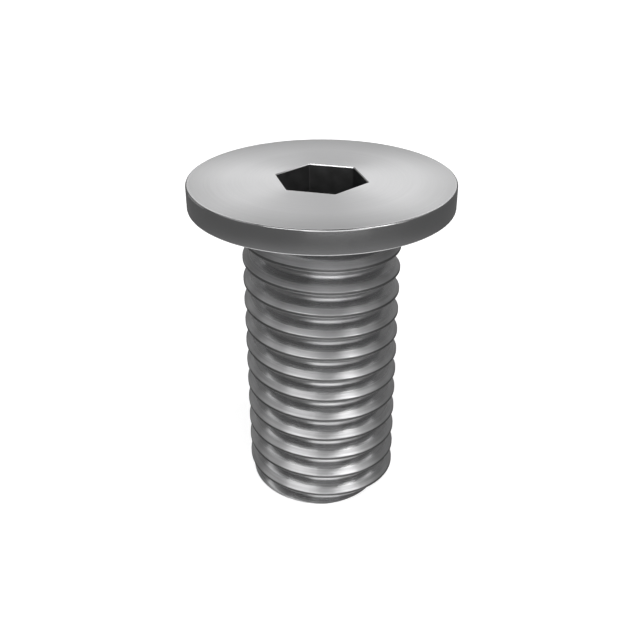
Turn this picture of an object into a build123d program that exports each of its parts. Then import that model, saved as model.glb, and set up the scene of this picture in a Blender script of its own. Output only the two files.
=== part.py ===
from build123d import *
from math import ceil, radians, sqrt, tan
import os

# Low-profile hex socket cap screw, one piece of turned steel, in millimetres.
# The origin is the centre of the bearing face under the head.
# The head is above it, along +Z, and the threaded shank stands below it on its point.

# Head: a thin wide disc with a flat top
HEAD_DIAMETER = 16.4
HEAD_HEIGHT = 1.5
HEAD_EDGE = 0.1

# Shank and its metric coarse thread, turned so that its crests stand as they should at the front
SHANK_LENGTH = 20.0
THREAD_DIAMETER = 10.0
THREAD_PITCH = 1.5
THREAD_IS_LEFT_HAND = True
THREAD_TURN = 71.0
POINT_CHAMFER = 0.45

# Neck under the head, where the thread groove runs out; its length is counted in pitches
NECK_UNDERCUT = 0.06
NECK_PITCHES = 1.2
GROOVE_END_GAP = 0.05

# Hexagonal socket: depth of its walls, the angle across its pointed six-sided floor,
# the bevel round its mouth and where one of its corners points
SOCKET_ACROSS_FLATS = 5.0
SOCKET_DEPTH = 3.0
SOCKET_FLOOR_ANGLE = 120.0
SOCKET_EDGE = 0.08
SOCKET_CORNER_TURN = -14.5

# Metric thread profile: 60 degree flanks on a triangle as wide as the pitch,
# a flat crest an eighth of the pitch wide, and a root flattened at the standard depth
FLANK_SLOPE = tan(radians(30))
TRIANGLE_HEIGHT = THREAD_PITCH * sqrt(3) / 2
CREST_WIDTH = THREAD_PITCH / 8
THREAD_RADIUS = THREAD_DIAMETER / 2
SHARP_ROOT_RADIUS = THREAD_RADIUS - TRIANGLE_HEIGHT * 7 / 8
ROOT_RADIUS = SHARP_ROOT_RADIUS + TRIANGLE_HEIGHT / 6
ROOT_HALF_WIDTH = (ROOT_RADIUS - SHARP_ROOT_RADIUS) * FLANK_SLOPE

# The groove's cutting section stands a little proud of the crests,
# by less than would let one turn of it meet the next
GROOVE_PROUD = CREST_WIDTH / 2
GROOVE_OUTER_RADIUS = THREAD_RADIUS + GROOVE_PROUD
GROOVE_HALF_WIDTH = (GROOVE_OUTER_RADIUS - SHARP_ROOT_RADIUS) * FLANK_SLOPE

# The neck is just deeper than the groove and ends in a shoulder as steep as the flanks
NECK_LENGTH = NECK_PITCHES * THREAD_PITCH
NECK_RADIUS = ROOT_RADIUS - NECK_UNDERCUT
NECK_SHOULDER_RISE = (THREAD_RADIUS - NECK_RADIUS) * FLANK_SLOPE


def turned_blank():
    """The screw as it leaves the lathe: half of its section, turned about its axis."""
    point_radius = THREAD_RADIUS - POINT_CHAMFER
    with BuildSketch(Plane.XZ) as section:
        with BuildLine():
            Polyline(
                (0, -SHANK_LENGTH),
                (point_radius, -SHANK_LENGTH),
                (THREAD_RADIUS, -SHANK_LENGTH + POINT_CHAMFER),
                (THREAD_RADIUS, -NECK_LENGTH),
                (NECK_RADIUS, -NECK_LENGTH + NECK_SHOULDER_RISE),
                (NECK_RADIUS, 0),
                (HEAD_DIAMETER / 2, 0),
                (HEAD_DIAMETER / 2, HEAD_HEIGHT),
                (0, HEAD_HEIGHT),
                close=True,
            )
        make_face()
        rim_corners = section.vertices().group_by(Axis.X)[-1]
        chamfer(rim_corners, HEAD_EDGE)
    return revolve(section.sketch, Axis.Z)


def groove_section(height):
    """The groove between two thread crests, in the plane through the axis."""
    with BuildSketch(Plane.XZ) as section:
        with BuildLine():
            Polyline(
                (GROOVE_OUTER_RADIUS, height + GROOVE_HALF_WIDTH),
                (ROOT_RADIUS, height + ROOT_HALF_WIDTH),
                (ROOT_RADIUS, height - ROOT_HALF_WIDTH),
                (GROOVE_OUTER_RADIUS, height - GROOVE_HALF_WIDTH),
                close=True,
            )
        make_face()
    return section.sketch


def thread_groove():
    """The helical groove, from a turn below the point up into the neck, one edge of path a turn."""
    top = -GROOVE_HALF_WIDTH - GROOVE_END_GAP
    turns = ceil((SHANK_LENGTH + top) / THREAD_PITCH) + 1
    bottom = top - turns * THREAD_PITCH
    path = Wire(
        [
            Helix(
                THREAD_PITCH,
                THREAD_PITCH,
                THREAD_RADIUS,
                center=(0, 0, bottom + turn * THREAD_PITCH),
                lefthand=THREAD_IS_LEFT_HAND,
            )
            for turn in range(turns)
        ]
    )
    groove = sweep(groove_section(bottom), path=path, is_frenet=True)
    return groove.rotate(Axis.Z, THREAD_TURN)


def hex_socket():
    """The hexagonal hole with its pointed floor: what three crossed slots have in common."""
    half_width = SOCKET_ACROSS_FLATS / 2
    floor = HEAD_HEIGHT - SOCKET_DEPTH
    tip = floor - half_width / tan(radians(SOCKET_FLOOR_ANGLE / 2))
    with BuildSketch(Plane.XZ) as slot_section:
        with BuildLine():
            Polyline(
                (-half_width, HEAD_HEIGHT),
                (-half_width, floor),
                (0, tip),
                (half_width, floor),
                (half_width, HEAD_HEIGHT),
                close=True,
            )
        make_face()
    long_slot = extrude(slot_section.sketch, SOCKET_ACROSS_FLATS, both=True)
    slot = long_slot.rotate(Axis.Z, SOCKET_CORNER_TURN + 30)
    return slot & slot.rotate(Axis.Z, 60) & slot.rotate(Axis.Z, 120)


def cap_screw():
    """The blank with its socket punched, the socket's mouth eased and its thread cut."""
    screw = turned_blank() - hex_socket()
    mouth = screw.faces().sort_by(Axis.Z)[-1].inner_wires()[0]
    screw = chamfer(mouth.edges(), SOCKET_EDGE)
    return screw - thread_groove()


os.makedirs("parts", exist_ok=True)
export_step(cap_screw(), "parts/cap_screw.step")
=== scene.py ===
from math import ceil, cos, pi, radians, sin, sqrt, tan

import bpy
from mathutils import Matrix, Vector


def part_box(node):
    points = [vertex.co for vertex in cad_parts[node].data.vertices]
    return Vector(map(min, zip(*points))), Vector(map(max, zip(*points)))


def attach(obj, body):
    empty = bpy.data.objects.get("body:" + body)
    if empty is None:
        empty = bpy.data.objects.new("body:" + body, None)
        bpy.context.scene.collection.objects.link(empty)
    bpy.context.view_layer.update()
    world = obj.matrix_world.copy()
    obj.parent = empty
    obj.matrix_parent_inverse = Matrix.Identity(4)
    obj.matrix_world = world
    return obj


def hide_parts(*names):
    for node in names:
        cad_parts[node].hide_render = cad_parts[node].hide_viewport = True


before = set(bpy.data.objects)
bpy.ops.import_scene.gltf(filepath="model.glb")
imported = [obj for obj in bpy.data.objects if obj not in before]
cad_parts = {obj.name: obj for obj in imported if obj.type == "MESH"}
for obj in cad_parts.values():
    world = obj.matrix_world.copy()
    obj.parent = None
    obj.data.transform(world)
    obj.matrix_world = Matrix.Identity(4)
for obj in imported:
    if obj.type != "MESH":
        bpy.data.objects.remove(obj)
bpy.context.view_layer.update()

# The screw is modelled in millimetres and brought to metres when its shape is finished
MM = 0.001
low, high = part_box("cap_screw")

# Head and shank, as the frame gives them; the bearing face under the head is at its origin
HEAD_RADIUS = high.x / MM
HEAD_TOP = high.z / MM
POINT_Z = low.z / MM
BEARING_Z = 0.0
HEAD_EDGE = 0.1

# Metric coarse thread, left-hand, and the neck that it runs out in
THREAD_RADIUS = 5.0
THREAD_PITCH = 1.5
THREAD_TURN = 71.0
POINT_CHAMFER = 0.45
NECK_LENGTH = 1.5
NECK_UNDERCUT = 0.06
NECK_FILLET = 0.3
GROOVE_TOP_Z = -0.76

# Hexagonal socket: its corners are rounded a little and its mouth is bevelled
SOCKET_SIDES = 6
SOCKET_HALF_SIDE = 180.0 / SOCKET_SIDES
SOCKET_ACROSS_FLATS = 5.0
SOCKET_DEPTH = 3.0
SOCKET_FLOOR_ANGLE = 120.0
SOCKET_EDGE = 0.055
SOCKET_CORNER_ROUND = 0.07
SOCKET_CORNER_TURN = -14.5
SOCKET_CORNER_RADIUS = SOCKET_ACROSS_FLATS / 2 / cos(radians(SOCKET_HALF_SIDE))

# Metric thread profile: flanks at 60 degrees to each other, on a triangle as wide as the pitch,
# with a round root
FLANK_ANGLE = 60.0
FLANK_SLOPE = tan(radians(FLANK_ANGLE / 2))
TRIANGLE_HEIGHT = THREAD_PITCH * sqrt(3) / 2
SHARP_ROOT_RADIUS = THREAD_RADIUS - TRIANGLE_HEIGHT * 7 / 8
ROOT_ROUNDING = TRIANGLE_HEIGHT / 6
GROOVE_HALF_WIDTH = (THREAD_RADIUS - SHARP_ROOT_RADIUS) * FLANK_SLOPE
NECK_RADIUS = SHARP_ROOT_RADIUS + ROOT_ROUNDING - NECK_UNDERCUT
SHOULDER_RISE = (THREAD_RADIUS - NECK_RADIUS) * FLANK_SLOPE

# How the crests' corners are eased, and how high and steep the lips are, in degrees, with
# which the groove's cutter reaches past them
CREST_EASING = 0.075
CUTTER_LIP = 0.06
CUTTER_LIP_LEAN = 14.0

# Fineness of the mesh
LATHE_SIDES = 256
THREAD_STEPS = 160
ROOT_SEGMENTS = 6
EASING_SEGMENTS = 3
RIM_SEGMENTS = 4
NECK_FILLET_SEGMENTS = 5
SOCKET_CORNER_SEGMENTS = 3

# How near a point has to be to count as on a ring or in line, and how straight up or down a
# face has to look to count as an end face
ON_RING = 0.01
IN_LINE = 0.001
END_FACE = 0.9

# Faces that meet at less than this angle are shaded as one, in degrees
SMOOTH_ANGLE = 32

# Steel: its tone, a touch cooler than neutral
STEEL_TONE = 0.55
STEEL_BLUE = 1.01

# Noises that the marks and patches are made of: how far their values mostly reach, how detailed
# they are, and how many times finer the grain is than the patches
NOISE_REACH = (0.3, 0.7)
LINE_DETAIL = 2.0
CLOUD_DETAIL = 3.0
GRAIN_DETAIL = 1.0
GRAIN_FINENESS = 40.0

# A reflection is stretched along the marks until this part of a whole turn lays it across them
QUARTER_TURN = 0.25

# Smallest divisors, so that nothing is divided by nought on the axis: a radius in millimetres
# on the screw, and how level a direction is in the studio
LEAST_RADIUS = 0.1
LEAST_LEVEL = 0.01

# Head: faced and turned, with fine rings. Its top is painted darker towards the rim, as painted
# shade, and its side, which starts between two radii, is smoother. Lines and clouds of handling are
# counted per millimetre, and a mark's depth is in millimetres
HEAD_ROUGHNESS = 0.28
HEAD_ROUGHNESS_RANGE = 0.03
HEAD_SIDE_ROUGHNESS = 0.16
HEAD_SIDE_START = (HEAD_RADIUS - 2 * HEAD_EDGE, HEAD_RADIUS - HEAD_EDGE / 2)
HEAD_TONE_RANGE = (0.96, 1.04)
HEAD_LINE_SHARE = 0.45
# Painted shade: how dark the head's top is painted at its rim
HEAD_RIM_PAINTED_SHADE = 0.78
HEAD_RIM_WIDTH = 2.4
HEAD_STRETCH = 0.78
HEAD_LINES = 14.0
HEAD_CLOUDS = 0.35
HEAD_MARK_DEPTH = 0.0006

# Bevel round the socket's mouth: smoother, as a key rubs it, and painted lighter as a painted
# highlight: how much lighter it is, how rough, and the heights and radii between which this starts
MOUTH_PAINTED_HIGHLIGHT = 1.7
MOUTH_ROUGHNESS = 0.16
MOUTH_HEIGHTS = (HEAD_TOP - SOCKET_EDGE / 4, HEAD_TOP - SOCKET_EDGE / 20)
MOUTH_RADII = (3.2, 3.3)

# Thread: radius in millimetres, roughness and painted tone, from the root out to the crest. The
# flank is smoothest near the root, and the crest is dull. The tone is painted light and shade:
# lighter on the inner half of the flank, darker on its outer half, and painted shade on the crest
THREAD_ROUGHNESS_AND_PAINTED_SHADING = (
    (4.08, 0.42, 1.04),
    (4.11, 0.38, 1.02),
    (4.17, 0.26, 0.98),
    (4.26, 0.19, 1.06),
    (4.48, 0.20, 1.06),
    (4.68, 0.38, 0.96),
    (4.97, 0.37, 0.96),
    (4.995, 0.4, 0.4),
)
THREAD_ROUGHNESS_RANGE = 0.08
THREAD_TONE_RANGE = (0.8, 1.18)
THREAD_LINE_SHARE = 0.6
THREAD_STRETCH = 0.7
THREAD_LINES = 8.0
THREAD_DRIFT = 0.35
THREAD_CLOUDS = 0.5
THREAD_MARK_DEPTH = 0.006

# Socket: dull, and painted dark as painted shade in the recess
SOCKET_PAINTED_SHADE_TONE = 0.105
SOCKET_PAINTED_SHADE_RANGE = (0.85, 1.15)
SOCKET_ROUGHNESS = 0.5
SOCKET_ROUGHNESS_RANGE = 0.08
SOCKET_CLOUDS = 1.2
SOCKET_GRAIN_DEPTH = 0.001

# Places of the finishes in the screw's list of materials
HEAD_SLOT, THREAD_SLOT, SOCKET_SLOT = range(3)

# The thread's finish starts this far below the bearing face, and leaves out faces that look
# straight down
UNDER_HEAD = 0.05
STRAIGHT_DOWN = -0.999

# The studio as the metal sees it: the room's tone and the white wall's share at each elevation,
# how far from its middle the wall starts to fade and ends and how far it is turned, in degrees,
# and its light
ROOM = (
    (-90, 1.3),
    (-62, 1.3),
    (-48, 0.3),
    (-35, 0.3),
    (-26, 0.14),
    (-12, 0.13),
    (-4, 0.2),
    (90, 0.18),
)
WALL = ((14.4, 0.0), (18.4, 0.6), (22, 1.0), (27, 1.0), (33, 0.0))
WALL_EDGES = (4, 23)
WALL_TURN = 1.5
WALL_LIGHT = 2.1

# The world's strength to all rays but those that see it and the floor's glow in full
WORLD_LIGHT = 0.15
SEEN_RAYS = ("Is Camera Ray", "Is Glossy Ray", "Is Transmission Ray")

# Floor, in metres: it glows more and more outwards, so that it has no horizon, and lies a hair
# below the point
FLOOR_SIZE = 1.2
FLOOR_COLOR = 0.8
FLOOR_ROUGHNESS = 0.9
FLOOR_GLOW = (0.66, 1.0)
FLOOR_FADE = (0.02, 0.16)
FLOOR_GAP = 0.00001

# Lamps: their distance in metres, and each one's name, azimuth from the front to the right and
# elevation in degrees, width and height in metres, and radiance
LAMP_DISTANCE = 0.4
LAMPS = (
    ("front_low", 12, 23, 0.38, 0.31, 1.95),
    ("front_right", 56, 22, 0.22, 0.18, 1.0),
    ("high_left", -34, 56, 0.24, 0.22, 2.6),
    ("high_right", 66, 56, 0.09, 0.22, 5.4),
    ("left_fill", -92, 48, 0.2, 0.2, 0.6),
    ("right_fill", 100, 48, 0.16, 0.2, 0.6),
    ("back_left", 206, 38, 0.14, 0.12, 1.2),
    ("back_right", 154, 38, 0.14, 0.12, 1.2),
    ("low_left", -122, 1.5, 0.2, 0.055, 0.9),
)

# Camera at the photograph's view: its place in millimetres, how far it looks down in degrees,
# its lens and sensor in millimetres, and the nearest distance that it shows in metres
CAMERA_PLACE = (-0.098, -49.36, 18.52)
CAMERA_PITCH = 28.49
CAMERA_LENS = 47.85
CAMERA_SENSOR = 36.0
CAMERA_NEAR = 0.001


def deselect_all():
    """Nothing selected, as every operator needs to start."""
    bpy.ops.object.select_all(action="DESELECT")


def take(piece):
    """Selects one piece alone and makes it the active one."""
    deselect_all()
    piece.select_set(True)
    bpy.context.view_layer.objects.active = piece


def edit(piece):
    """Opens one piece for editing, with nothing in it selected."""
    take(piece)
    bpy.ops.object.mode_set(mode="EDIT")
    bpy.ops.mesh.select_all(action="DESELECT")


def done():
    """Closes the piece that is being edited."""
    bpy.ops.object.mode_set(mode="OBJECT")


def pick(piece, kind, wanted):
    """Selects the vertices, edges or polygons of an edited piece for which wanted is true."""
    modes = {"vertices": "VERT", "edges": "EDGE", "polygons": "FACE"}
    bpy.ops.mesh.select_mode(type=modes[kind])
    bpy.ops.mesh.select_all(action="DESELECT")
    bpy.ops.object.mode_set(mode="OBJECT")
    mesh = piece.data
    for element in getattr(mesh, kind):
        element.select = wanted(mesh, element)
    bpy.ops.object.mode_set(mode="EDIT")


def ring_edges(radius, height):
    """A test for the edges of the ring at one radius and height."""

    def on_ring(mesh, edge):
        places = [mesh.vertices[v].co for v in edge.vertices]
        return all(
            abs(place.xy.length - radius) < ON_RING and abs(place.z - height) < ON_RING
            for place in places
        )

    return on_ring


def upright_edges(mesh, edge):
    """A test for the edges that run parallel to the axis."""
    one, other = (mesh.vertices[v].co for v in edge.vertices)
    return (one - other).xy.length < IN_LINE


def lower_end(mesh, face):
    """A test for the face that looks down."""
    return face.normal.z < -END_FACE


def upper_end(mesh, face):
    """A test for the face that looks up."""
    return face.normal.z > END_FACE


def next_ring(height, scale):
    """Extrudes the selected end face by a height and scales its ring about the axis."""
    bpy.ops.mesh.extrude_region_move(TRANSFORM_OT_translate={"value": (0, 0, height)})
    bpy.ops.transform.resize(value=(scale, scale, 1), center_override=(0, 0, 0))


def apply_modifier(piece, kind, **settings):
    """Adds a modifier with its settings and applies it."""
    take(piece)
    modifier = piece.modifiers.new(kind.lower(), kind)
    for name, value in settings.items():
        setattr(modifier, name, value)
    bpy.ops.object.modifier_apply(modifier=modifier.name)


def cut(piece, cutter):
    """Cuts the cutter out of the piece and throws the cutter away."""
    apply_modifier(piece, "BOOLEAN", operation="DIFFERENCE", solver="EXACT", object=cutter)
    bpy.data.objects.remove(cutter)


def turned_blank():
    """Head, neck and shank as the lathe leaves them, with the head's edges and the neck's top
    rounded."""
    deselect_all()
    bpy.ops.mesh.primitive_cylinder_add(
        vertices=LATHE_SIDES, radius=HEAD_RADIUS, depth=HEAD_TOP, location=(0, 0, HEAD_TOP / 2)
    )
    blank = bpy.context.object
    bpy.ops.object.transform_apply(location=True)
    edit(blank)
    pick(blank, "polygons", lower_end)
    bpy.ops.mesh.inset(thickness=HEAD_RADIUS - NECK_RADIUS)
    next_ring(-NECK_LENGTH + SHOULDER_RISE, 1)
    next_ring(-SHOULDER_RISE, THREAD_RADIUS / NECK_RADIUS)
    next_ring(POINT_Z + NECK_LENGTH + POINT_CHAMFER, 1)
    next_ring(-POINT_CHAMFER, 1 - POINT_CHAMFER / THREAD_RADIUS)
    bpy.ops.mesh.poke()
    for height in (HEAD_TOP, BEARING_Z):
        pick(blank, "edges", ring_edges(HEAD_RADIUS, height))
        bpy.ops.mesh.bevel(offset=HEAD_EDGE, segments=RIM_SEGMENTS, affect="EDGES")
    pick(blank, "edges", ring_edges(NECK_RADIUS, BEARING_Z))
    bpy.ops.mesh.bevel(offset=NECK_FILLET, segments=NECK_FILLET_SEGMENTS, affect="EDGES")
    done()
    return blank


def groove_section():
    """The cutter's section across the groove, standing in the plane through the axis."""
    lip_radius = THREAD_RADIUS + CUTTER_LIP * tan(radians(CUTTER_LIP_LEAN))
    lip_half = GROOVE_HALF_WIDTH + CUTTER_LIP
    corners = (
        (lip_radius, lip_half),
        (THREAD_RADIUS, GROOVE_HALF_WIDTH),
        (SHARP_ROOT_RADIUS, 0),
        (THREAD_RADIUS, -GROOVE_HALF_WIDTH),
        (lip_radius, -lip_half),
    )
    deselect_all()
    bpy.ops.mesh.primitive_circle_add(vertices=len(corners), fill_type="NGON")
    section = bpy.context.object
    for vertex, (radius, rise) in zip(section.data.vertices, corners):
        vertex.co = (radius, 0, GROOVE_TOP_Z + rise)

    def at_root(mesh, vertex):
        return vertex.co.x < THREAD_RADIUS - CREST_EASING

    def at_crest(mesh, vertex):
        return abs(vertex.co.x - THREAD_RADIUS) < IN_LINE

    edit(section)
    pick(section, "vertices", at_root)
    bpy.ops.mesh.bevel(
        offset=ROOT_ROUNDING / FLANK_SLOPE, segments=ROOT_SEGMENTS, affect="VERTICES"
    )
    pick(section, "vertices", at_crest)
    bpy.ops.mesh.bevel(offset=CREST_EASING, segments=EASING_SEGMENTS, affect="VERTICES")
    done()
    return section


def groove_cutter():
    """The section wound round the shank, down as it goes anticlockwise seen from above, which
    makes the thread left-hand, and closed at its ends."""
    cutter = groove_section()
    turns = ceil((GROOVE_TOP_Z - POINT_Z) / THREAD_PITCH) + 1
    apply_modifier(
        cutter,
        "SCREW",
        angle=2 * pi,
        screw_offset=-THREAD_PITCH,
        iterations=turns,
        steps=THREAD_STEPS,
        render_steps=THREAD_STEPS,
    )
    edit(cutter)
    bpy.ops.mesh.select_mode(type="EDGE")
    bpy.ops.mesh.select_non_manifold()
    bpy.ops.mesh.edge_face_add()
    bpy.ops.mesh.select_all(action="SELECT")
    bpy.ops.mesh.normals_make_consistent(inside=False)
    done()
    cutter.rotation_euler.z = radians(THREAD_TURN)
    bpy.ops.object.transform_apply(rotation=True)
    return cutter


def socket_cutter():
    """A hexagonal punch with a pointed end, flared at the top to bevel the socket's mouth."""
    tip_depth = SOCKET_ACROSS_FLATS / 2 / tan(radians(SOCKET_FLOOR_ANGLE / 2))
    straight = SOCKET_DEPTH - SOCKET_EDGE
    flare = 2 * SOCKET_EDGE
    # A new prism has its corners half a side away from +X
    turn = radians(SOCKET_CORNER_TURN + SOCKET_HALF_SIDE)
    deselect_all()
    bpy.ops.mesh.primitive_cylinder_add(
        vertices=SOCKET_SIDES,
        radius=SOCKET_CORNER_RADIUS,
        depth=straight,
        location=(0, 0, HEAD_TOP - SOCKET_EDGE - straight / 2),
        rotation=(0, 0, turn),
    )
    punch = bpy.context.object
    bpy.ops.object.transform_apply(location=True, rotation=True)
    edit(punch)
    pick(punch, "edges", upright_edges)
    bpy.ops.mesh.bevel(
        offset=SOCKET_CORNER_ROUND, segments=SOCKET_CORNER_SEGMENTS, affect="EDGES"
    )
    pick(punch, "polygons", lower_end)
    next_ring(-tip_depth, 1)
    bpy.ops.mesh.merge(type="CENTER")
    pick(punch, "polygons", upper_end)
    next_ring(flare, 1 + flare * 2 / SOCKET_ACROSS_FLATS)
    done()
    return punch


def whole_screw():
    """The blank with its thread and socket cut, brought to metres and shaded as metal is."""
    screw = turned_blank()
    screw.name = "screw"
    cut(screw, groove_cutter())
    cut(screw, socket_cutter())
    take(screw)
    screw.scale = (MM, MM, MM)
    bpy.ops.object.transform_apply(scale=True)
    bpy.ops.object.shade_smooth_by_angle(angle=radians(SMOOTH_ANGLE))
    apply_modifier(screw, "WEIGHTED_NORMAL", keep_sharp=True)
    return screw


def principled(name):
    """A new node material and its shader."""
    material = bpy.data.materials.new(name)
    material.use_nodes = True
    return material, material.node_tree.nodes["Principled BSDF"]


def feed(tree, socket, value):
    """Gives an input either a number or a link."""
    if isinstance(value, bpy.types.NodeSocket):
        tree.links.new(value, socket)
    else:
        socket.default_value = value


def calculate(tree, operation, first, second=0.0, third=0.0):
    """A Math node on numbers or sockets, and what it gives."""
    node = tree.nodes.new("ShaderNodeMath")
    node.operation = operation
    for socket, value in zip(node.inputs, (first, second, third)):
        feed(tree, socket, value)
    return node.outputs[0]


def spread(tree, value, low_in, high_in, low_out, high_out):
    """Brings a value from one range to another and keeps it there."""
    node = tree.nodes.new("ShaderNodeMapRange")
    for name, given in (
        ("Value", value),
        ("From Min", low_in),
        ("From Max", high_in),
        ("To Min", low_out),
        ("To Max", high_out),
    ):
        feed(tree, node.inputs[name], given)
    return node.outputs["Result"]


def evened(tree, value):
    """A noise's values brought to the whole range between nought and one."""
    return spread(tree, value, *NOISE_REACH, 0.0, 1.0)


def blended(tree, first, second, share):
    """Two values added up, the first with its share and the second with the rest."""
    rest = calculate(tree, "MULTIPLY", second, 1 - share)
    return calculate(tree, "MULTIPLY_ADD", first, share, rest)


def from_axis(tree, east, north):
    """The distance of a place from the axis."""
    north_squared = calculate(tree, "MULTIPLY", north, north)
    return calculate(tree, "SQRT", calculate(tree, "MULTIPLY_ADD", east, east, north_squared))


def noise(tree, vector, scale, detail):
    """A soft random pattern."""
    node = tree.nodes.new("ShaderNodeTexNoise")
    tree.links.new(vector, node.inputs["Vector"])
    node.inputs["Scale"].default_value = scale
    node.inputs["Detail"].default_value = detail
    return node.outputs["Fac"]


def value_ramp(tree, value, stops):
    """Carries a value through a list of places and the number at each, with soft steps."""
    ramp = tree.nodes.new("ShaderNodeValToRGB")
    ramp.color_ramp.interpolation = "EASE"
    tree.links.new(value, ramp.inputs["Fac"])
    while len(ramp.color_ramp.elements) < len(stops):
        ramp.color_ramp.elements.new(1)
    for stop, (place, number) in zip(ramp.color_ramp.elements, stops):
        stop.position = place
        stop.color = (number, number, number, 1)
    return ramp.outputs["Color"]


def new_group(name, inputs, outputs):
    """An empty node group with named number inputs and outputs, and its two end nodes."""
    group = bpy.data.node_groups.new(name, "ShaderNodeTree")
    for label in inputs:
        group.interface.new_socket(label, in_out="INPUT", socket_type="NodeSocketFloat")
    for label in outputs:
        group.interface.new_socket(label, in_out="OUTPUT", socket_type="NodeSocketFloat")
    return group, group.nodes.new("NodeGroupInput"), group.nodes.new("NodeGroupOutput")


def add_group(tree, group, **values):
    """Places a node group in a tree, with some of its inputs set."""
    node = tree.nodes.new("ShaderNodeGroup")
    node.node_tree = group
    for label, value in values.items():
        feed(tree, node.inputs[label.replace("_", " ")], value)
    return node


def place_group():
    """Where a point of the screw is: its distance from the axis and its height in millimetres,
    and how far east and north it lies on a ring of radius one."""
    group, _, result = new_group("place_on_screw", (), ("Radius", "Height", "East", "North"))
    place = group.nodes.new("ShaderNodeTexCoord")
    split = group.nodes.new("ShaderNodeSeparateXYZ")
    group.links.new(place.outputs["Object"], split.inputs[0])
    east, north, height = (
        calculate(group, "DIVIDE", split.outputs[axis], MM) for axis in ("X", "Y", "Z")
    )
    radius = from_axis(group, east, north)
    off_axis = calculate(group, "MAXIMUM", radius, LEAST_RADIUS)
    group.links.new(radius, result.inputs["Radius"])
    group.links.new(height, result.inputs["Height"])
    group.links.new(calculate(group, "DIVIDE", east, off_axis), result.inputs["East"])
    group.links.new(calculate(group, "DIVIDE", north, off_axis), result.inputs["North"])
    return group


def tool_marks_group(place):
    """Fine lines left by a tool that went round the axis."""
    group, given, result = new_group("tool_marks", ("Across", "Lines per mm", "Drift"), ("Line",))
    where = add_group(group, place)
    across = calculate(group, "MULTIPLY", given.outputs["Across"], given.outputs["Lines per mm"])
    drift = calculate(group, "MULTIPLY", where.outputs["Height"], given.outputs["Drift"])
    vector = group.nodes.new("ShaderNodeCombineXYZ")
    group.links.new(calculate(group, "ADD", where.outputs["East"], drift), vector.inputs["X"])
    group.links.new(where.outputs["North"], vector.inputs["Y"])
    group.links.new(across, vector.inputs["Z"])
    group.links.new(noise(group, vector.outputs[0], 1.0, LINE_DETAIL), result.inputs["Line"])
    return group


def handling_group():
    """Faint cloudy patches, as oil and fingers leave them on steel, and a fine grain."""
    group, given, result = new_group("handling", ("Patches per mm",), ("Cloud", "Grain"))
    place = group.nodes.new("ShaderNodeTexCoord")
    larger = group.nodes.new("ShaderNodeVectorMath")
    larger.operation = "SCALE"
    group.links.new(place.outputs["Object"], larger.inputs[0])
    patches = calculate(group, "DIVIDE", given.outputs["Patches per mm"], MM)
    group.links.new(patches, larger.inputs["Scale"])
    cloud = noise(group, larger.outputs[0], 1.0, CLOUD_DETAIL)
    grain = noise(group, larger.outputs[0], GRAIN_FINENESS, GRAIN_DETAIL)
    group.links.new(cloud, result.inputs["Cloud"])
    group.links.new(grain, result.inputs["Grain"])
    return group


def tinted(tree, tone):
    """A steel grey as light as the tone, a touch cooler than neutral."""
    colour = tree.nodes.new("ShaderNodeCombineColor")
    for channel, share in (("Red", 1.0), ("Green", 1.0), ("Blue", STEEL_BLUE)):
        tree.links.new(calculate(tree, "MULTIPLY", tone, share), colour.inputs[channel])
    return colour.outputs["Color"]


def bumped(tree, shader, height, depth):
    """Roughens the surface with a pattern, by a depth in millimetres."""
    bump = tree.nodes.new("ShaderNodeBump")
    bump.inputs["Strength"].default_value = 1
    bump.inputs["Distance"].default_value = depth * MM
    tree.links.new(height, bump.inputs["Height"])
    tree.links.new(bump.outputs["Normal"], shader.inputs["Normal"])


def stretched(tree, shader, amount):
    """Stretches reflections across marks that run round the axis."""
    round_axis = tree.nodes.new("ShaderNodeTangent")
    round_axis.direction_type = "RADIAL"
    round_axis.axis = "Z"
    tree.links.new(round_axis.outputs["Tangent"], shader.inputs["Tangent"])
    shader.inputs["Anisotropic"].default_value = amount
    shader.inputs["Anisotropic Rotation"].default_value = QUARTER_TURN


def rim_painted_shade(tree, radius, height):
    """How dark the head's top is painted towards its rim, as painted shade; one on its side and
    below.
    """
    edge = HEAD_RADIUS - HEAD_EDGE
    darker = spread(tree, radius, HEAD_RADIUS - HEAD_RIM_WIDTH, edge, 1.0, HEAD_RIM_PAINTED_SHADE)
    on_top = spread(tree, height, HEAD_TOP - HEAD_EDGE, HEAD_TOP, 0.0, 1.0)
    return calculate(tree, "MAXIMUM", darker, calculate(tree, "SUBTRACT", 1.0, on_top))


def on_mouth(tree, radius, height):
    """One on the bevel round the socket's mouth, and nought elsewhere on the head. Nothing bounds
    it below, so it is one in the middle of the point's end too."""
    below_top = spread(tree, height, *MOUTH_HEIGHTS, 1.0, 0.0)
    near_socket = spread(tree, radius, *MOUTH_RADII, 1.0, 0.0)
    return calculate(tree, "MULTIPLY", below_top, near_socket)


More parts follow.
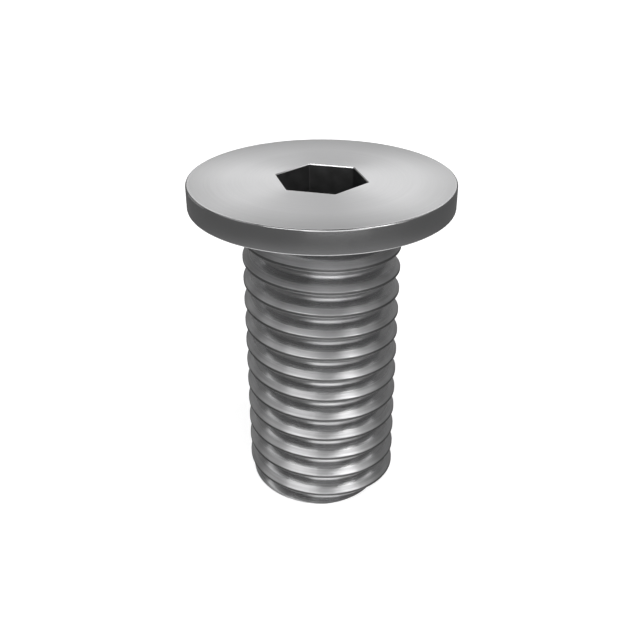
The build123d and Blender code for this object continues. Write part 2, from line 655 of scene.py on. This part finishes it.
def turned_steel(place, marks, handling):
    """The head as it was faced and turned: fine rings that stretch each reflection across them."""
    material, shader = principled("turned_steel")
    tree = material.node_tree
    where = add_group(tree, place)
    radius = where.outputs["Radius"]
    height = where.outputs["Height"]
    across = calculate(tree, "SUBTRACT", radius, height)
    rings = add_group(tree, marks, Across=across, Lines_per_mm=HEAD_LINES, Drift=0.0)
    patches = add_group(tree, handling, Patches_per_mm=HEAD_CLOUDS)
    cloud = evened(tree, patches.outputs["Cloud"])
    line = evened(tree, rings.outputs["Line"])
    mouth = on_mouth(tree, radius, height)

    darkest, lightest = (STEEL_TONE * share for share in HEAD_TONE_RANGE)
    tone = spread(tree, blended(tree, line, cloud, HEAD_LINE_SHARE), 0.0, 1.0, darkest, lightest)
    # Painted highlight on the bevel round the socket's mouth, and painted shade towards the top's
    # rim
    mouth_highlight = spread(tree, mouth, 0.0, 1.0, 1.0, MOUTH_PAINTED_HIGHLIGHT)
    painted_light_and_shade = calculate(tree, "MULTIPLY", rim_painted_shade(tree, radius, height), mouth_highlight)
    colour = tinted(tree, calculate(tree, "MULTIPLY", tone, painted_light_and_shade))
    tree.links.new(colour, shader.inputs["Base Color"])

    dullest = HEAD_ROUGHNESS + HEAD_ROUGHNESS_RANGE
    side = spread(tree, radius, *HEAD_SIDE_START, 0.0, 1.0)
    rough = calculate(tree, "MULTIPLY_ADD", line, -HEAD_ROUGHNESS_RANGE, dullest)
    for share, more in (
        (cloud, HEAD_ROUGHNESS_RANGE),
        (side, HEAD_SIDE_ROUGHNESS - HEAD_ROUGHNESS),
        (mouth, MOUTH_ROUGHNESS - HEAD_ROUGHNESS),
    ):
        rough = calculate(tree, "MULTIPLY_ADD", share, more, rough)
    tree.links.new(rough, shader.inputs["Roughness"])
    shader.inputs["Metallic"].default_value = 1
    stretched(tree, shader, HEAD_STRETCH)
    bumped(tree, shader, rings.outputs["Line"], HEAD_MARK_DEPTH)
    return material


def rolled_steel(place, marks, handling):
    """The thread: flanks that are smoothest near the root, with fine streaks along them, dull
    crests, and painted light and shade across the profile, darkest on the crests."""
    material, shader = principled("rolled_steel")
    tree = material.node_tree
    where = add_group(tree, place)
    radius = where.outputs["Radius"]
    streaks = add_group(
        tree, marks, Across=radius, Lines_per_mm=THREAD_LINES, Drift=THREAD_DRIFT
    )
    patches = add_group(tree, handling, Patches_per_mm=THREAD_CLOUDS)
    cloud = evened(tree, patches.outputs["Cloud"])
    line = evened(tree, streaks.outputs["Line"])

    # A ramp's place and number stay within one, so the tones go through it halved
    depth = THREAD_RADIUS - NECK_RADIUS
    level = spread(tree, radius, NECK_RADIUS, THREAD_RADIUS, 0.0, 1.0)
    # The tone by radius is painted light and shade: lighter on the inner flank, darker on the outer
    # flank, painted shade on the crest
    painted_shading_stops = [((at - NECK_RADIUS) / depth, tone / 2) for at, _, tone in THREAD_ROUGHNESS_AND_PAINTED_SHADING]
    rough_stops = [((at - NECK_RADIUS) / depth, rough) for at, rough, _ in THREAD_ROUGHNESS_AND_PAINTED_SHADING]
    painted_light_and_shade = calculate(tree, "MULTIPLY", value_ramp(tree, level, painted_shading_stops), 2.0)
    own_rough = value_ramp(tree, level, rough_stops)

    darkest, lightest = (STEEL_TONE * share for share in THREAD_TONE_RANGE)
    marked = blended(tree, line, cloud, THREAD_LINE_SHARE)
    tone = spread(tree, marked, 0.0, 1.0, darkest, lightest)
    colour = tinted(tree, calculate(tree, "MULTIPLY", painted_light_and_shade, tone))
    tree.links.new(colour, shader.inputs["Base Color"])

    uneven = calculate(
        tree, "MULTIPLY_ADD", line, -THREAD_ROUGHNESS_RANGE, THREAD_ROUGHNESS_RANGE / 2
    )
    tree.links.new(calculate(tree, "ADD", own_rough, uneven), shader.inputs["Roughness"])
    shader.inputs["Metallic"].default_value = 1
    stretched(tree, shader, THREAD_STRETCH)
    bumped(tree, shader, streaks.outputs["Line"], THREAD_MARK_DEPTH)
    return material


def socket_painted_shade_steel(handling):
    """The walls and floor of the socket: dull, and painted dark as painted shade, with a fine grain.
    """
    material, shader = principled("socket_painted_shade_steel")
    tree = material.node_tree
    patches = add_group(tree, handling, Patches_per_mm=SOCKET_CLOUDS)
    cloud = evened(tree, patches.outputs["Cloud"])
    darkest, lightest = (SOCKET_PAINTED_SHADE_TONE * share for share in SOCKET_PAINTED_SHADE_RANGE)
    colour = tinted(tree, spread(tree, cloud, 0.0, 1.0, darkest, lightest))
    tree.links.new(colour, shader.inputs["Base Color"])
    rough = calculate(tree, "MULTIPLY_ADD", cloud, SOCKET_ROUGHNESS_RANGE, SOCKET_ROUGHNESS)
    tree.links.new(rough, shader.inputs["Roughness"])
    shader.inputs["Metallic"].default_value = 1
    bumped(tree, shader, patches.outputs["Grain"], SOCKET_GRAIN_DEPTH)
    return material


def dress(screw):
    """Gives the head, the thread and the socket their own finish, with painted light and shade in
    each. The socket's faces lie within its corners, above the middle of the shank and below the
    mouth's bevel."""
    place = place_group()
    marks = tool_marks_group(place)
    handling = handling_group()
    screw.data.materials.clear()
    screw.data.materials.append(turned_steel(place, marks, handling))
    screw.data.materials.append(rolled_steel(place, marks, handling))
    screw.data.materials.append(socket_painted_shade_steel(handling))
    socket_reach = SOCKET_CORNER_RADIUS + SOCKET_EDGE / 2
    mouth_z = HEAD_TOP - SOCKET_EDGE / 2
    for face in screw.data.polygons:
        centre = face.center / MM
        highest = max(screw.data.vertices[v].co.z for v in face.vertices) / MM
        if centre.xy.length < socket_reach and POINT_Z / 2 < highest < mouth_z:
            face.material_index = SOCKET_SLOT
        elif centre.z < BEARING_Z - UNDER_HEAD and face.normal.z > STRAIGHT_DOWN:
            face.material_index = THREAD_SLOT
        else:
            face.material_index = HEAD_SLOT


def either(tree, names):
    """One where a ray is any of the named kinds, and nought elsewhere."""
    path = tree.nodes.new("ShaderNodeLightPath")
    total = path.outputs[names[0]]
    for name in names[1:]:
        total = calculate(tree, "MAXIMUM", total, path.outputs[name])
    return total


def height_ramp(tree, rise, stops):
    """A number for each elevation of a direction, from its rise between minus one and one."""
    place = spread(tree, rise, -1.0, 1.0, 0.0, 1.0)
    return value_ramp(
        tree, place, [(0.5 + 0.5 * sin(radians(elevation)), number) for elevation, number in stops]
    )


def studio_world():
    """White to the camera; the metal sees a white wall behind it in a dimmer room."""
    world = bpy.data.worlds.new("studio")
    bpy.context.scene.world = world
    world.use_nodes = True
    tree = world.node_tree
    background = tree.nodes["Background"]
    place = tree.nodes.new("ShaderNodeTexCoord")
    split = tree.nodes.new("ShaderNodeSeparateXYZ")
    tree.links.new(place.outputs["Generated"], split.inputs["Vector"])
    east, north, rise = split.outputs
    level = calculate(tree, "MAXIMUM", from_axis(tree, east, north), LEAST_LEVEL)
    northward = calculate(tree, "MULTIPLY", north, cos(radians(WALL_TURN)))
    facing = calculate(tree, "MULTIPLY_ADD", east, sin(radians(WALL_TURN)), northward)
    inner_edge, outer_edge = (cos(radians(edge)) for edge in WALL_EDGES)
    behind = spread(
        tree, calculate(tree, "DIVIDE", facing, level), outer_edge, inner_edge, 0.0, 1.0
    )
    wall = calculate(tree, "MULTIPLY", behind, height_ramp(tree, rise, WALL))
    room = spread(tree, wall, 0.0, 1.0, height_ramp(tree, rise, ROOM), WALL_LIGHT)
    plain = either(tree, ("Is Camera Ray", "Is Transmission Ray"))
    tree.links.new(spread(tree, plain, 0.0, 1.0, room, 1.0), background.inputs["Color"])
    tree.links.new(
        spread(tree, either(tree, SEEN_RAYS), 0.0, 1.0, WORLD_LIGHT, 1.0),
        background.inputs["Strength"],
    )


def pale_floor():
    """The white floor that the screw stands on, with its shadow; the metal doesn't mirror it."""
    deselect_all()
    bpy.ops.mesh.primitive_plane_add(size=FLOOR_SIZE, location=(0, 0, low.z - FLOOR_GAP))
    floor = bpy.context.object
    floor.name = "floor"
    bpy.ops.object.transform_apply(location=True)
    material, shader = principled("pale_floor")
    tree = material.node_tree
    shader.inputs["Base Color"].default_value = (FLOOR_COLOR, FLOOR_COLOR, FLOOR_COLOR, 1)
    shader.inputs["Roughness"].default_value = FLOOR_ROUGHNESS
    shader.inputs["Specular IOR Level"].default_value = 0
    shader.inputs["Emission Color"].default_value = (1, 1, 1, 1)
    place = tree.nodes.new("ShaderNodeTexCoord")
    distance = tree.nodes.new("ShaderNodeVectorMath")
    distance.operation = "LENGTH"
    tree.links.new(place.outputs["Object"], distance.inputs[0])
    glow = spread(tree, distance.outputs["Value"], *FLOOR_FADE, *FLOOR_GLOW)
    glow = calculate(tree, "MULTIPLY", either(tree, SEEN_RAYS), glow)
    tree.links.new(glow, shader.inputs["Emission Strength"])
    floor.data.materials.append(material)
    floor.visible_glossy = False


def soft_box(name, azimuth, elevation, width, height, radiance):
    """An area lamp that faces the screw from an azimuth and elevation; the camera doesn't see it."""
    lamp = bpy.data.lights.new(name, "AREA")
    lamp.shape = "RECTANGLE"
    lamp.size = width
    lamp.size_y = height
    lamp.energy = radiance * pi * width * height
    box = bpy.data.objects.new(name, lamp)
    bpy.context.scene.collection.objects.link(box)
    across = cos(radians(elevation)) * LAMP_DISTANCE
    box.location = (
        across * sin(radians(azimuth)),
        -across * cos(radians(azimuth)),
        sin(radians(elevation)) * LAMP_DISTANCE,
    )
    box.rotation_euler = (radians(90 - elevation), 0, radians(azimuth))
    box.visible_camera = False


def photo_camera():
    """The camera at the photograph's place, height and pitch."""
    lens = bpy.data.cameras.new("camera")
    lens.lens = CAMERA_LENS
    lens.sensor_width = CAMERA_SENSOR
    lens.clip_start = CAMERA_NEAR
    camera = bpy.data.objects.new("camera", lens)
    bpy.context.scene.collection.objects.link(camera)
    camera.location = [place * MM for place in CAMERA_PLACE]
    camera.rotation_euler = (radians(90 - CAMERA_PITCH), 0, 0)
    bpy.context.scene.camera = camera


screw = whole_screw()
dress(screw)
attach(screw, "root")
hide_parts("cap_screw")

studio_world()
pale_floor()
for lamp in LAMPS:
    soft_box(*lamp)
photo_camera()

bpy.context.scene.view_settings.view_transform = "Standard"
